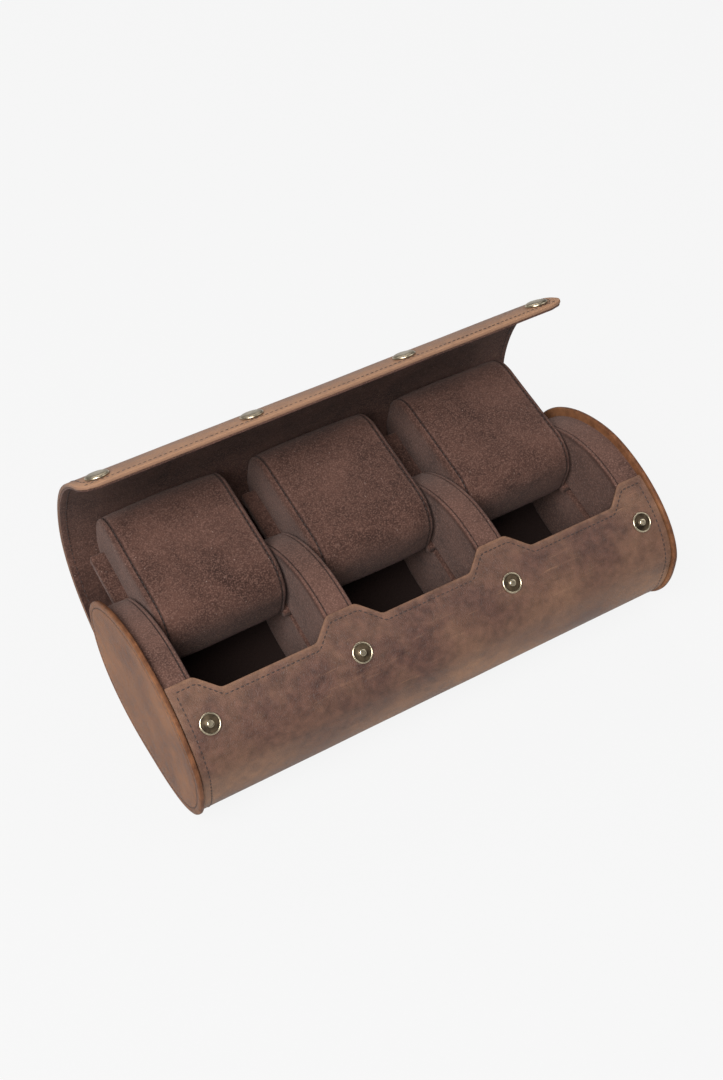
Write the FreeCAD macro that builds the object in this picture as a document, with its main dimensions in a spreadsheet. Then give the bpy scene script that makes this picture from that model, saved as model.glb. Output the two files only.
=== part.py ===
"""Three-place watch roll: a leather tray with a wrap-over lid and three sliding watch pillows.

Units are millimetres. X runs along the roll, +Y to the back (the lid's side), +Z up.
The origin is on the resting plane, under the middle of the tray.
"""
import FreeCAD
import Part
import math
import os
from FreeCAD import Placement, Rotation, Vector

doc = FreeCAD.newDocument("watch_roll")

# ---------------------------------------------------------------- driving dimensions
DIMENSIONS = {
    # the oval cross-section of the end discs, measured from the roll's axis
    "axis_height": 41.4,
    "half_width": 53.0,
    "top_rise": 35.9,
    "bottom_drop": 42.2,
    "top_power": 1.79,
    "bottom_power": 2.55,
    # end discs
    "half_length": 120.0,
    "disc_leather": 1.0,
    "disc_board": 1.2,
    "disc_lip": 1.5,
    "disc_gap": 0.3,
    # tray wrap
    "wrap_leather": 1.3,
    "wrap_card": 0.6,
    "wrap_suede": 0.6,
    "tab_depth": 8.7,
    "notch_top_half": 30.5,
    "notch_bottom_half": 21.6,
    # walls between the watch places
    "place_pitch": 74.65,
    "place_half": 30.25,
    "wall_suede": 0.8,
    "wall_top_inset": 4.0,
    "wall_side_inset": 4.8,
    # pillows and their wing boards
    "slide_slope": 15.0,
    "pillow_tilt": 12.0,
    "pillow_length": 71.5,
    "pillow_thickness": 40.0,
    "pillow_corner": 15.0,
    "pillow_half": 29.2,
    "gusset": 0.8,
    "board_length": 62.0,
    "board_thickness": 4.5,
    "board_half": 35.85,
    "groove_play": 0.35,
    "groove_end_play": 0.45,
    # lid
    "lid_half": 117.2,
    "lid_leather": 1.5,
    "lid_suede": 0.9,
    "panel_length": 39.5,
    "panel_gap": 0.6,
    "lid_corner": 8.0,
    # snap fasteners
    "snap_inner": 37.1,
    "snap_outer": 106.7,
    "cap_from_edge": 9.1,
}
sheet = doc.addObject("Spreadsheet::Sheet", "sheet")
for row, (alias, value) in enumerate(DIMENSIONS.items(), start=1):
    sheet.set(f"A{row}", alias)
    sheet.set(f"B{row}", str(value))
    sheet.setAlias(f"B{row}", alias)
doc.recompute()


def dim(alias):
    return float(sheet.get(alias))


AXIS = dim("axis_height")
PARTS = []


def keep(feature, label):
    """Mark a document object as a sub-part and give it the name of its file."""
    feature.Label = label
    PARTS.append(feature)
    return feature


def shape_part(label, shape):
    """A sub-part whose shape comes from Part's own functions."""
    feature = doc.addObject("Part::Feature", label)
    feature.Shape = shape
    return keep(feature, label)


def bind(feature, **cells):
    """Bind properties of a feature to expressions over the sheet."""
    for name, expression in cells.items():
        feature.setExpression(name, expression)


# ---------------------------------------------------------------- the oval outline
def oval_point(angle, width, top, bottom):
    """A point of the oval at a parameter angle: y and z from the roll's axis."""
    rise, power = (top, dim("top_power")) if math.sin(angle) >= 0 else (bottom, dim("bottom_power"))
    y = width * math.copysign(abs(math.cos(angle)) ** (2 / power), math.cos(angle))
    z = rise * math.copysign(abs(math.sin(angle)) ** (2 / power), math.sin(angle))
    return Vector(0, y, AXIS + z)


def oval_wire(width, top, bottom, flat):
    """The oval as a closed wire in the plane X = 0, cut flat at a distance under the axis."""
    def steps(first, last, count):
        return [first + (last - first) * i / count for i in range(count)]

    flat_angle = math.asin((flat / bottom) ** (dim("bottom_power") / 2))
    angles = steps(-flat_angle, 0.0, 12) + steps(0.0, math.pi, 28) + steps(math.pi, math.pi + flat_angle, 12)
    points = [oval_point(a, width, top, bottom) for a in angles + [math.pi + flat_angle]]
    curve = Part.BSplineCurve()
    curve.interpolate(points)
    floor_line = Part.LineSegment(points[-1], points[0])
    return Part.Wire([curve.toShape(), floor_line.toShape()])


def inset_wire(side, top, bottom, flat):
    """The end disc's outline brought in by these amounts."""
    return oval_wire(dim("half_width") - side, dim("top_rise") - top, dim("bottom_drop") - bottom, AXIS - flat)


def along_x(face_or_wire, first, last):
    """Extrude a flat outline in the plane X = 0 from first to last."""
    face = face_or_wire if face_or_wire.ShapeType == "Face" else Part.Face(face_or_wire)
    solid = face.extrude(Vector(last - first, 0, 0))
    solid.translate(Vector(first, 0, 0))
    return solid


def yz(y, z):
    """A point of the cross-section, given from the roll's axis."""
    return Vector(0, y, AXIS + z)


# ---------------------------------------------------------------- end discs
disc_outline = doc.addObject("Part::Feature", "disc_outline")
disc_outline.Shape = inset_wire(0, 0, 0, 0)
board_outline = doc.addObject("Part::Feature", "board_outline")
BOARD_INSET = 0.6
board_outline.Shape = inset_wire(BOARD_INSET, BOARD_INSET, 0.3, 0)


def disc(label, outline, side, thickness, outer_face):
    """A flat disc on one end: outer_face is the expression of its outer face's distance."""
    slab = doc.addObject("Part::Extrusion", label)
    slab.Base = outline
    slab.DirMode = "Custom"
    slab.Dir = Vector(-side, 0, 0)
    slab.Solid = True
    bind(slab, LengthFwd=thickness)
    bind(slab, **{".Placement.Base.x": f"{side} * ({outer_face})"})
    return keep(slab, label)


for side, end in ((-1, "left"), (1, "right")):
    disc(f"{end}_end_cover", disc_outline, side, "sheet.disc_leather", "sheet.half_length")
    disc(f"{end}_end_board", board_outline, side, "sheet.disc_board", "sheet.half_length - sheet.disc_leather")

INNER_FACE = dim("half_length") - dim("disc_leather") - dim("disc_board")
WRAP_HALF = INNER_FACE - dim("disc_gap")

# ---------------------------------------------------------------- tray wrap: leather, card and suede
LID_ROOT = (40.0, -33.2)          # where the lid leaves the tray, from the roll's axis
ROOT_NORMAL = math.radians(-54.4)  # the wrap's outward direction there
TAB_TOP = (-22.3, 28.4)           # top edge of the tabs on the front
TAB_NORMAL = math.radians(117.0)   # the wrap's outward direction there


def polar(point, angle, distance):
    return yz(point[0] + distance * math.cos(angle), point[1] + distance * math.sin(angle))


def opening_tool(back_off):
    """The space above the tray's two edges, which are set back by back_off along the wrap."""
    root = (LID_ROOT[0] - back_off * math.sin(-ROOT_NORMAL), LID_ROOT[1] - back_off * math.cos(ROOT_NORMAL))
    top = (TAB_TOP[0] - back_off * math.sin(TAB_NORMAL), TAB_TOP[1] + back_off * math.cos(TAB_NORMAL))
    corners = [
        polar(root, ROOT_NORMAL, -9), polar(root, ROOT_NORMAL, 25), yz(110, -40), yz(110, 90),
        yz(-90, 90), polar(top, TAB_NORMAL, 25), polar(top, TAB_NORMAL, -9),
    ]
    return along_x(Part.makePolygon(corners + corners[:1]), -130, 130)


def notch_tool(centre, grow):
    """The dip in the front edge at one watch place, cut square to the wrap."""
    top, bottom, depth = dim("notch_top_half") + grow, dim("notch_bottom_half") + grow, dim("tab_depth") + grow
    run = (top - bottom) / depth
    over = 4.0
    corners = [
        Vector(centre - top - run * over, over, 0), Vector(centre - bottom, -depth, 0),
        Vector(centre + bottom, -depth, 0), Vector(centre + top + run * over, over, 0),
    ]
    prism = Part.Face(Part.makePolygon(corners + corners[:1])).extrude(Vector(0, 0, 24))
    prism.translate(Vector(0, 0, -12))
    low = [e for e in prism.Edges if abs(e.CenterOfMass.y + depth) < 0.01 and abs(e.CenterOfMass.z) < 0.01]
    prism = prism.makeFillet(3.0, low)
    # the prism's Z turns onto the wrap's outward direction, and its Y up the wrap
    prism.Placement = Placement(polar(TAB_TOP, 0, 0), Rotation(Vector(1, 0, 0), 117.0 - 90.0))
    return prism


def wrap_layer(depth, thickness, set_back):
    """One layer of the wrap, from depth under the outer face, its edges set back."""
    lip = dim("disc_lip") + depth
    low = 0.3 + depth
    outer = along_x(inset_wire(lip, lip, low, depth), -WRAP_HALF + set_back, WRAP_HALF - set_back)
    core = along_x(inset_wire(lip + thickness, lip + thickness, low + thickness, depth + thickness), -130, 130)
    layer = outer.cut(core).cut(opening_tool(set_back))
    for place in (-1, 0, 1):
        layer = layer.cut(notch_tool(place * dim("place_pitch"), set_back))
    return layer


SNAP_X = [-dim("snap_outer"), -dim("snap_inner"), dim("snap_inner"), dim("snap_outer")]
SNAP_DROP = 20.0                   # from the tab's top edge down the wrap to the snap
leather = wrap_layer(0.0, dim("wrap_leather"), 0.0)
card = wrap_layer(dim("wrap_leather"), dim("wrap_card"), 0.7)
suede = wrap_layer(dim("wrap_leather") + dim("wrap_card"), dim("wrap_suede"), 0.0)

# the snap's seat: a point of the outer face, and the outward direction there
wrap_face = inset_wire(dim("disc_lip"), dim("disc_lip"), 0.3, 0)


def seat_on_wrap(drop):
    """Walk down the wrap's outline from the tab's top edge and return the place and direction."""
    crown = wrap_face.Edges[0]
    first = crown.Curve.parameter(yz(*TAB_TOP))
    last = crown.Curve.parameterAtDistance(drop, first)
    point = crown.valueAt(last)
    tangent = crown.tangentAt(last)
    outward = Vector(0, tangent.z, -tangent.y)
    return point, outward


stud_point, stud_outward = seat_on_wrap(SNAP_DROP)
SNAP_SHANK, SHANK_PLAY, BACK_RADIUS = 1.2, 0.15, 3.2


def stand_on(shape, x, point, outward):
    """Copy a shape made about +Z so that it stands on a point of the cross-section."""
    copy = shape.copy()
    copy.Placement = Placement(Vector(x, point.y, point.z), Rotation(Vector(0, 0, 1), outward))
    return copy


def holes(shape, radius, point, outward):
    """Drill one hole at each snap, square to the surface."""
    drill = Part.makeCylinder(radius, 8, Vector(0, 0, -4))
    for x in SNAP_X:
        shape = shape.cut(stand_on(drill, x, point, outward))
    return shape


shape_part("outer_wrap_leather", holes(leather, SNAP_SHANK + SHANK_PLAY, stud_point, stud_outward))
shape_part("wrap_stiffener", holes(card, BACK_RADIUS + SHANK_PLAY, stud_point, stud_outward))
shape_part("tray_lining", suede)


# ---------------------------------------------------------------- snap fasteners
def turned_piece(name, profile):
    """A body turned about its Z axis from a profile of (radius, height) corners."""
    body = doc.addObject("PartDesign::Body", name)
    sketch = body.newObject("Sketcher::SketchObject", f"{name}_profile")
    plane = next(f for f in body.Origin.OriginFeatures if f.Role == "XZ_Plane")
    sketch.AttachmentSupport = (plane, [""])
    sketch.MapMode = "FlatFace"
    ring = profile + profile[:1]
    for (r_a, h_a), (r_b, h_b) in zip(ring, ring[1:]):
        sketch.addGeometry(Part.LineSegment(Vector(r_a, h_a, 0), Vector(r_b, h_b, 0)), False)
    revolution = body.newObject("PartDesign::Revolution", f"{name}_turned")
    revolution.Profile = sketch
    revolution.ReferenceAxis = (sketch, ["V_Axis"])
    revolution.Angle = 360
    body.Tip = revolution
    doc.recompute()
    return body.Shape


def snap_set(label, pattern, point, outward):
    """The four like snap pieces share one node."""
    shape_part(label, Part.makeCompound([stand_on(pattern, x, point, outward) for x in SNAP_X]))


STUD = [
    (0, -1.3), (SNAP_SHANK, -1.3), (SNAP_SHANK, 0), (4.3, 0), (4.6, 0.3), (4.5, 0.8), (4.0, 0.9),
    (3.7, 0.35), (1.6, 0.35), (1.3, 0.7), (1.6, 1.1), (1.3, 1.5), (0, 1.5),
]
STUD_BACK = [(0, -1.7), (BACK_RADIUS, -1.7), (BACK_RADIUS, -1.36), (SNAP_SHANK, -1.3), (0, -1.3)]
SOCKET_SEAT = dim("lid_leather") + 0.18   # the flat socket only touches the bent leather at its rim
CAP_SHANK = 1.5
CAP = [
    (0, -SOCKET_SEAT), (CAP_SHANK, -SOCKET_SEAT), (CAP_SHANK, 0), (4.8, 0), (5.2, 0.4),
    (4.9, 1.1), (3.6, 1.5), (0, 1.6),
]
SOCKET_BORE, SOCKET_RADIUS, SOCKET_HEIGHT, SOCKET_FLOOR = 2.6, 4.6, 0.8, 0.3
SOCKET = [
    (0, SOCKET_HEIGHT - SOCKET_FLOOR), (SOCKET_BORE, SOCKET_HEIGHT - SOCKET_FLOOR), (SOCKET_BORE, 0),
    (SOCKET_RADIUS, 0), (SOCKET_RADIUS, SOCKET_HEIGHT), (0, SOCKET_HEIGHT),
]

snap_set("snap_studs", turned_piece("stud_pattern", STUD), stud_point, stud_outward)
snap_set("snap_stud_backs", turned_piece("stud_back_pattern", STUD_BACK), stud_point, stud_outward)


# ---------------------------------------------------------------- walls and their grooves
SLOPE = math.radians(dim("slide_slope"))
BOARD_BACK = (69.0, 17.5)         # back edge of the wing board's upper face, at rest
GROOVE_FRONT = -42.0              # how far forward the grooves run


def board_box(x_first, x_last, behind, length, play):
    """A box along the slide's slope: it starts behind the board's back edge and runs forward."""
    height = dim("board_thickness") + 2 * play
    box = Part.makeBox(x_last - x_first, length, height, Vector(x_first, -length, -height + play))
    box.Placement = Placement(
        yz(BOARD_BACK[0] + behind * math.cos(SLOPE), BOARD_BACK[1] + behind * math.sin(SLOPE)),
        Rotation(Vector(1, 0, 0), dim("slide_slope")))
    return box


def groove_tools():
    """The six grooves, two to a watch place."""
    behind = 20.0
    length = (BOARD_BACK[0] - GROOVE_FRONT) / math.cos(SLOPE) + behind
    reach = dim("board_half") + dim("groove_end_play")
    inside = dim("place_half") - 2
    for place in (-1, 0, 1):
        centre = place * dim("place_pitch")
        for side in (-1, 1):
            first, last = sorted((centre + side * inside, centre + side * reach))
            yield board_box(first, last, behind, length, dim("groove_play"))


GROOVES = Part.makeCompound(list(groove_tools()))
WALL_LOW = 0.3 + dim("wrap_leather") + dim("wrap_card") + dim("wrap_suede")
WALL_FLAT = WALL_LOW - 0.3


def wall_wire(extra):
    side, top = dim("wall_side_inset") + extra, dim("wall_top_inset") + extra
    return inset_wire(side, top, WALL_LOW + extra, WALL_FLAT + extra)


def wall(label, first, last, faces):
    """A wall: a stiff core, a suede rim band round it, and a suede panel on each open face."""
    skin = dim("wall_suede")
    inner_first = first + (skin if "low" in faces else 0)
    inner_last = last - (skin if "high" in faces else 0)
    core = along_x(wall_wire(skin), inner_first, inner_last)
    rim = along_x(wall_wire(0), inner_first, inner_last).cut(core)
    panels = []
    if "low" in faces:
        panels.append(along_x(wall_wire(0), first, inner_first).cut(GROOVES))
    if "high" in faces:
        panels.append(along_x(wall_wire(0), inner_last, last).cut(GROOVES))
    shape_part(f"{label}_core", core.cut(GROOVES))
    shape_part(f"{label}_rim_band", rim.cut(GROOVES))
    shape_part(f"{label}_suede_faces", Part.makeCompound(panels))


PLACE_EDGE = dim("place_pitch") + dim("place_half")
DIVIDER_OUTER = dim("place_pitch") - dim("place_half")
wall("left_end_wall", -INNER_FACE, -PLACE_EDGE, ("high",))
wall("left_divider", -DIVIDER_OUTER, -dim("place_half"), ("low", "high"))
wall("right_divider", dim("place_half"), DIVIDER_OUTER, ("low", "high"))
wall("right_end_wall", PLACE_EDGE, INNER_FACE, ("low",))

# ---------------------------------------------------------------- pillows on their wing boards
PILLOW_CENTRE = (42.8, 15.8)


def pillow_outline():
    """The rounded slab's side view, tilted with its back end up."""
    half_long, half_thick = dim("pillow_length") / 2, dim("pillow_thickness") / 2
    block = Part.makeBox(1, 2 * half_long, 2 * half_thick, Vector(0, -half_long, -half_thick))
    corners = [e for e in block.Edges if abs(e.tangentAt(e.FirstParameter).x) > 0.9]
    block = block.makeFillet(dim("pillow_corner"), corners)
    block.Placement = Placement(yz(*PILLOW_CENTRE), Rotation(Vector(1, 0, 0), dim("pillow_tilt")))
    side = min(block.Faces, key=lambda f: f.CenterOfMass.x)
    return side


PILLOW_SIDE = pillow_outline()
for place, name in ((-1, "left"), (0, "middle"), (1, "right")):
    centre = place * dim("place_pitch")
    half, skin, reach = dim("pillow_half"), dim("gusset"), dim("board_half")
    board = board_box(centre - reach, centre + reach, 0.0, dim("board_length"), 0.0)
    cushion = along_x(PILLOW_SIDE, centre - half + skin, centre + half - skin)
    gussets = [
        along_x(PILLOW_SIDE, centre - half, centre - half + skin),
        along_x(PILLOW_SIDE, centre + half - skin, centre + half),
    ]
    shape_part(f"{name}_pillow_cushion", cushion.cut(board))
    shape_part(f"{name}_pillow_gussets", Part.makeCompound([g.cut(board) for g in gussets]))
    shape_part(f"{name}_wing_board", board)

# ---------------------------------------------------------------- lid: four hinged panels
LID_START_ANGLE = math.radians(14.5)
PANEL_TURNS = [math.radians(turn) for turn in (35.0, 48.0, 26.0, 34.0)]


class Panel:
    """One curved panel of the lid, open: an arc of constant bend in the cross-section."""

    def __init__(self, start, angle, turn):
        self.start = start
        self.angle = angle
        self.turn = turn
        self.radius = dim("panel_length") / turn
        self.centre = polar((start.y, start.z - AXIS), angle + math.pi / 2, self.radius)

    def point(self, length, depth):
        """The point at a length along the panel and a depth under its outer face."""
        angle = self.angle + self.turn * length / dim("panel_length") - math.pi / 2
        reach = self.radius - depth
        return self.centre + Vector(0, reach * math.cos(angle), reach * math.sin(angle))

    def outward(self, length):
        return (self.point(length, 0) - self.centre).normalize()

    def layer(self, upper, lower, first, last, half):
        """A solid sheet between two depths and two lengths, extruded to half each way."""
        middle = (first + last) / 2
        outer = Part.Arc(self.point(first, upper), self.point(middle, upper), self.point(last, upper))
        inner = Part.Arc(self.point(last, lower), self.point(middle, lower), self.point(first, lower))
        joins = [
            Part.LineSegment(self.point(last, upper), self.point(last, lower)),
            Part.LineSegment(self.point(first, lower), self.point(first, upper)),
        ]
        wire = Part.Wire([outer.toShape(), joins[0].toShape(), inner.toShape(), joins[1].toShape()])
        return along_x(wire, -half, half)


def round_free_corners(sheet_solid, panel):
    """Round the two corners of the lid's free edge."""
    end = panel.point(dim("panel_length"), 0)
    corners = [
        e for e in sheet_solid.Edges
        if (e.CenterOfMass - Vector(e.CenterOfMass.x, end.y, end.z)).Length < 3
        and abs(abs(e.CenterOfMass.x) - dim("lid_half")) < 0.01 and e.Length < 3
    ]
    return sheet_solid.makeFillet(dim("lid_corner"), corners)


panels = []
start, angle = yz(*LID_ROOT), LID_START_ANGLE
for turn in PANEL_TURNS:
    panels.append(Panel(start, angle, turn))
    start = panels[-1].point(dim("panel_length"), 0)
    angle += turn

LID_THICKNESS = dim("lid_leather") + dim("lid_suede")
for number, panel in enumerate(panels, start=1):
    trim = dim("panel_gap") / 2
    first = trim
    last = dim("panel_length") - (0 if number == len(panels) else trim)
    skin = panel.layer(0, dim("lid_leather"), first, last, dim("lid_half"))
    lining = panel.layer(dim("lid_leather"), LID_THICKNESS, first, last, dim("lid_half"))
    if number == len(panels):
        snap_at = dim("panel_length") - dim("cap_from_edge")
        cap_point, cap_outward = panel.point(snap_at, 0), panel.outward(snap_at)
        skin = holes(round_free_corners(skin, panel), CAP_SHANK + SHANK_PLAY, cap_point, cap_outward)
        lining = holes(round_free_corners(lining, panel), SOCKET_RADIUS + SHANK_PLAY, cap_point, cap_outward)
    shape_part(f"lid_leather_{number}", skin)
    shape_part(f"lid_lining_{number}", lining)

snap_set("snap_caps", turned_piece("cap_pattern", CAP), cap_point, cap_outward)
socket_seat = cap_point - cap_outward * (SOCKET_SEAT + SOCKET_HEIGHT)
snap_set("snap_sockets", turned_piece("socket_pattern", SOCKET), socket_seat, cap_outward)

# ---------------------------------------------------------------- check and write
doc.recompute()
for feature in doc.Objects:
    if any(word in feature.State for word in ("Invalid", "Error")):
        raise SystemExit(f"{feature.Label} failed: {feature.State}")
for feature in PARTS:
    if feature.Shape.isNull() or not feature.Shape.isValid():
        raise SystemExit(f"{feature.Label} has no valid shape")

os.makedirs("parts", exist_ok=True)
for feature in PARTS:
    feature.Shape.exportStep(f"parts/{feature.Label}.step")
    box = feature.Shape.BoundBox
    print(f"{feature.Label:28s} solids {len(feature.Shape.Solids)}  volume {feature.Shape.Volume:9.1f}"
          f"  y {box.YMin:6.1f} {box.YMax:6.1f}  z {box.ZMin:6.1f} {box.ZMax:6.1f}")

print("snap seat", stud_point, stud_outward)
for number, panel in enumerate(panels, start=1):
    print(f"lid joint {number} at", panel.point(0, LID_THICKNESS))
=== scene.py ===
import math

import bmesh
import bpy
from mathutils import Matrix, Vector, noise


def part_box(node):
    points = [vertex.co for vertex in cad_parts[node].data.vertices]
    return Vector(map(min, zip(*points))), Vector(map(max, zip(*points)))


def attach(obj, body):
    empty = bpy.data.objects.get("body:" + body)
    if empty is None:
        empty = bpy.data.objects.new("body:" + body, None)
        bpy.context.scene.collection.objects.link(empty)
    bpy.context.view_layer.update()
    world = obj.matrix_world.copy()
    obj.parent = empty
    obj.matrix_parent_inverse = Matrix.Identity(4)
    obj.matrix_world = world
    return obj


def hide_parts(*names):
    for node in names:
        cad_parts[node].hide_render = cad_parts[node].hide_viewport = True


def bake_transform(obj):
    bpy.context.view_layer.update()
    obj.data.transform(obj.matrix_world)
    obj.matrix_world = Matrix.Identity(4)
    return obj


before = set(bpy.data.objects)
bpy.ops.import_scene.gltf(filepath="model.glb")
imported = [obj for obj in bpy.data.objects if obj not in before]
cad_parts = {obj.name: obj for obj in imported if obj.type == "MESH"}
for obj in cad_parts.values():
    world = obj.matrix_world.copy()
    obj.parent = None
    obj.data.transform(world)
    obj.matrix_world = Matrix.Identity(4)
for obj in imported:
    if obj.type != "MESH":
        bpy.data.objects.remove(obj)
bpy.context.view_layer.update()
MM = 0.001

# ------------------------------------------------------------------ the studio
# A pale floor that lights itself lies under the roll, with three soft boxes and a dim pale sky.
# The camera looks down on the roll from its front left corner.
scene = bpy.context.scene
scene.view_settings.view_transform = "Standard"


def link(obj):
    scene.collection.objects.link(obj)
    return obj


CAMERA_PLACE = Vector((-237.2, -373.6, 543.8)) * MM
CAMERA_AZIMUTH, CAMERA_ELEVATION = math.radians(-30.883), math.radians(46.837)
camera_data = bpy.data.cameras.new("camera")
camera_data.lens = 50.46
camera_data.sensor_width = 36.0
camera_data.clip_start = 0.01
camera = link(bpy.data.objects.new("camera", camera_data))
camera.location = CAMERA_PLACE
camera.rotation_euler = (math.pi / 2 - CAMERA_ELEVATION, 0.0, CAMERA_AZIMUTH)
scene.camera = camera


def soft_box(name, place, target, size, watts, colour=(1.0, 1.0, 1.0)):
    lamp = bpy.data.lights.new(name, "AREA")
    lamp.shape = "RECTANGLE"
    lamp.size, lamp.size_y = size
    lamp.energy = watts
    lamp.color = colour
    obj = link(bpy.data.objects.new(name, lamp))
    obj.location = place
    obj.rotation_euler = (Vector(target) - Vector(place)).to_track_quat("-Z", "Y").to_euler()
    return obj


soft_box("key_box", (-0.75, -0.55, 1.15), (0.0, 0.0, 0.05), (1.0, 0.8), 40.0)
soft_box("fill_box", (0.95, -0.35, 0.9), (0.0, 0.0, 0.05), (0.9, 0.9), 4.5)
soft_box("back_box", (0.1, 1.1, 0.95), (0.0, 0.0, 0.08), (1.4, 0.6), 9.0)

sky = bpy.data.worlds.new("pale_sky")
scene.world = sky
sky.use_nodes = True
SKY_COLOUR, SKY_STRENGTH = (0.97, 0.98, 1.0, 1.0), 0.14
sky.node_tree.nodes["Background"].inputs["Color"].default_value = SKY_COLOUR
sky.node_tree.nodes["Background"].inputs["Strength"].default_value = SKY_STRENGTH


class Graph:
    """Short ways to add and join the nodes of one tree."""

    def __init__(self, tree):
        self.tree = tree

    def add(self, kind, settings=None, **inputs):
        node = self.tree.nodes.new(kind)
        for name, value in (settings or {}).items():
            setattr(node, name, value)
        for name, value in inputs.items():
            self.feed(node, name, value)
        return node

    def feed(self, node, name, value):
        socket = node.inputs[int(name[1:])] if name[0] == "_" else node.inputs[name.replace("_", " ")]
        if isinstance(value, bpy.types.NodeSocket):
            self.tree.links.new(value, socket)
        else:
            socket.default_value = value

    def mix(self, factor, a, b, blend="MIX"):
        node = self.add("ShaderNodeMix", {"data_type": "RGBA", "blend_type": blend})
        for socket, value in ((node.inputs[0], factor), (node.inputs[6], a), (node.inputs[7], b)):
            if isinstance(value, bpy.types.NodeSocket):
                self.tree.links.new(value, socket)
            else:
                socket.default_value = value
        return node.outputs[2]

    def math(self, operation, a, b=0.0, clamp=False):
        return self.add("ShaderNodeMath", {"operation": operation, "use_clamp": clamp}, _0=a, _1=b).outputs[0]

    def ramp(self, value, low, high, to_low=0.0, to_high=1.0):
        node = self.add("ShaderNodeMapRange", {"clamp": True}, Value=value)
        for name, number in zip(("From Min", "From Max", "To Min", "To Max"), (low, high, to_low, to_high)):
            node.inputs[name].default_value = number
        return node.outputs[0]

    def noise(self, vector, scale, detail=3.0, rough=0.5, distortion=0.0):
        node = self.add("ShaderNodeTexNoise", Vector=vector, Scale=scale, Detail=detail)
        node.inputs["Roughness"].default_value = rough
        node.inputs["Distortion"].default_value = distortion
        return node.outputs[0]


def material(name):
    """A new material: its Principled shader and its graph."""
    made = bpy.data.materials.new(name)
    made.use_nodes = True
    return made, made.node_tree.nodes["Principled BSDF"], Graph(made.node_tree)


FLOOR_HALF = 3.0
FLOOR_GLOW = 0.885
paper, paper_shader, paper_graph = material("studio_paper")
paper_shader.inputs["Roughness"].default_value = 0.9
place = paper_graph.add("ShaderNodeTexCoord").outputs["Object"]
fibre = paper_graph.noise(place, 400.0)
PAPER_DARK, PAPER_PALE = (0.022, 0.022, 0.022, 1), (0.026, 0.026, 0.026, 1)
paper_graph.feed(paper_shader, "Base_Color", paper_graph.mix(fibre, PAPER_DARK, PAPER_PALE))
paper_shader.inputs["Specular IOR Level"].default_value = 0.0
paper_shader.inputs["Emission Color"].default_value = (1.0, 1.0, 1.0, 1.0)
paper_shader.inputs["Emission Strength"].default_value = FLOOR_GLOW
bm = bmesh.new()
bmesh.ops.create_grid(bm, x_segments=2, y_segments=2, size=FLOOR_HALF)
floor_mesh = bpy.data.meshes.new("studio_floor")
bm.to_mesh(floor_mesh)
bm.free()
floor = link(bpy.data.objects.new("studio_floor", floor_mesh))
floor_mesh.materials.append(paper)

# ------------------------------------------------------------------ end discs
# Each end of the roll is a stiff board with leather turned over its edge and sewn round.
# The leather stands a lip proud of the wrap, and one row of stitches runs inside the rim.
AXIS = 41.4 * MM
HALF_WIDTH, TOP_RISE, BOTTOM_DROP = 53.0 * MM, 35.9 * MM, 42.2 * MM
TOP_POWER, BOTTOM_POWER = 1.79, 2.55


def oval(angle, side, top, low, floor):
    """A point of the roll's oval cross-section, brought in by side, top and low, and cut flat at floor."""
    rise, power = (TOP_RISE - top, TOP_POWER) if math.sin(angle) >= 0 else (BOTTOM_DROP - low, BOTTOM_POWER)
    y = (HALF_WIDTH - side) * math.copysign(abs(math.cos(angle)) ** (2 / power), math.cos(angle))
    z = rise * math.copysign(abs(math.sin(angle)) ** (2 / power), math.sin(angle))
    return y, max(AXIS + z, floor)


def group(name, inputs, outputs):
    """A shader node group with named sockets. Returns its graph and its two end nodes."""
    tree = bpy.data.node_groups.new(name, "ShaderNodeTree")
    for label, kind, value in inputs:
        socket = tree.interface.new_socket(label, in_out="INPUT", socket_type=kind)
        if value is not None:
            socket.default_value = value
    for label, kind in outputs:
        tree.interface.new_socket(label, in_out="OUTPUT", socket_type=kind)
    graph = Graph(tree)
    return graph, graph.add("NodeGroupInput").outputs, graph.add("NodeGroupOutput")


FLOAT, COLOUR, VECTOR = "NodeSocketFloat", "NodeSocketColor", "NodeSocketVector"

g, given, out = group(
    "pull_up_hide",
    [("Place", VECTOR, None), ("Dark", COLOUR, (0.06, 0.03, 0.02, 1)),
     ("Middle", COLOUR, (0.12, 0.06, 0.04, 1)), ("Pale", COLOUR, (0.3, 0.18, 0.1, 1)),
     ("Rub", FLOAT, 0.0), ("Cloudiness", FLOAT, 1.0)],
    [("Colour", COLOUR), ("Roughness", FLOAT), ("Height", FLOAT)])
wide = g.noise(given["Place"], 16.0, 3.0, 0.55, 0.6)
cloud = g.noise(given["Place"], 55.0, 5.0, 0.62, 0.4)
mottle = g.noise(given["Place"], 260.0, 4.0, 0.6)
stretched = g.add("ShaderNodeMapping", Vector=given["Place"])
stretched.inputs["Rotation"].default_value = (0.2, 0.35, 0.5)
stretched.inputs["Scale"].default_value = (9.0, 160.0, 160.0)
streak = g.noise(stretched.outputs[0], 3.2, 5.0, 0.7, 0.25)
crossed = g.add("ShaderNodeMapping", Vector=given["Place"])
crossed.inputs["Rotation"].default_value = (0.4, -0.3, -0.8)
crossed.inputs["Scale"].default_value = (14.0, 220.0, 220.0)
nick = g.noise(crossed.outputs[0], 4.0, 3.0, 0.6)
wide_pull = g.math("MULTIPLY", g.ramp(wide, 0.42, 0.68), 0.55)
cloud_pull = g.math("MULTIPLY", g.ramp(cloud, 0.45, 0.75), 0.5)
pull = g.math("ADD", wide_pull, cloud_pull)
pull = g.math("MULTIPLY", pull, given["Cloudiness"])
scratch = g.math("MULTIPLY", g.ramp(streak, 0.60, 0.72), g.ramp(cloud, 0.35, 0.6))
scratch = g.math("ADD", scratch, g.math("MULTIPLY", g.ramp(nick, 0.66, 0.74), 0.6), clamp=True)
pale = g.math("ADD", g.math("MULTIPLY", pull, 0.42), g.math("MULTIPLY", scratch, 0.28))
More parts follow.
